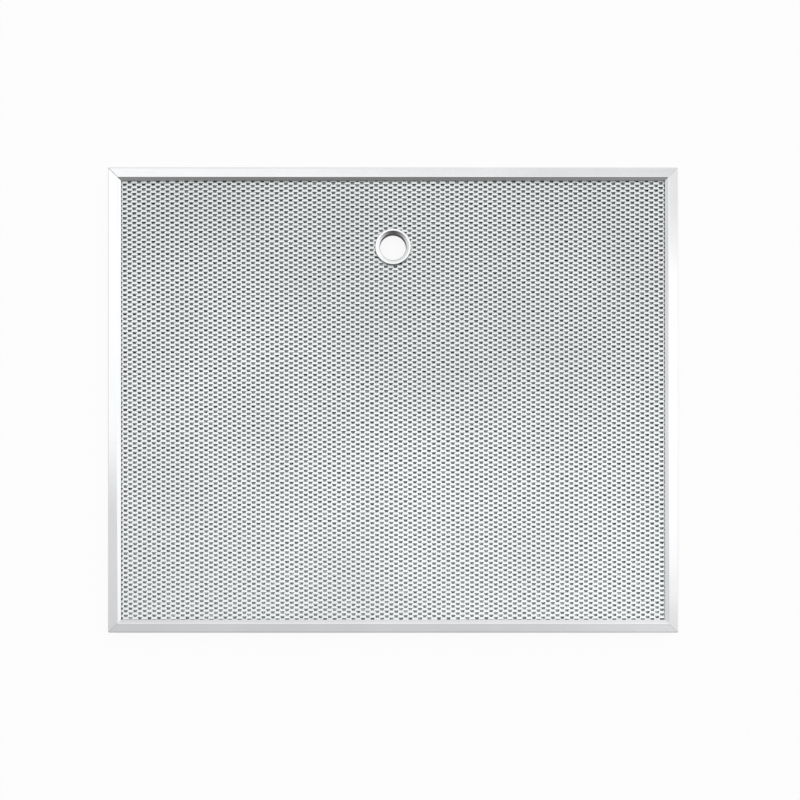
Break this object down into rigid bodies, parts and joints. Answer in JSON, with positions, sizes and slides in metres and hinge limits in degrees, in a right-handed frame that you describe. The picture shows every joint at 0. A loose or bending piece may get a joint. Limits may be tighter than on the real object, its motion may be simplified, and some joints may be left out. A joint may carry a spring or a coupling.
{
  "type": "cooker hood grease filter",
  "caption": "Flat rectangular aluminium grease filter for a cooker hood: expanded mesh pack in a folded channel frame, with an eyelet finger hole near one long edge.",
  "frame": {"origin": "centre of the rear rim's plane, under the middle of the filter", "axes": "+X along the long side to the right, +Y along the short side towards the finger hole, +Z out of the cooking side"},
  "size_m": [0.38, 0.31, 0.009],
  "materials": {
    "frame_aluminium": "satin rolled sheet",
    "mesh_aluminium": "bright expanded mesh",
    "foil_aluminium": "plain foil",
    "eyelet_aluminium": "smooth drawn"
  },
  "bodies": {
    "root": {"frame_channel": "frame_aluminium", "front_mesh": "mesh_aluminium", "rear_mesh": "mesh_aluminium", "filter_layer_1": "foil_aluminium", "filter_layer_2": "foil_aluminium", "filter_layer_3": "foil_aluminium", "eyelet": "eyelet_aluminium", "eyelet_washer": "eyelet_aluminium"}
  },
  "joints": []
}
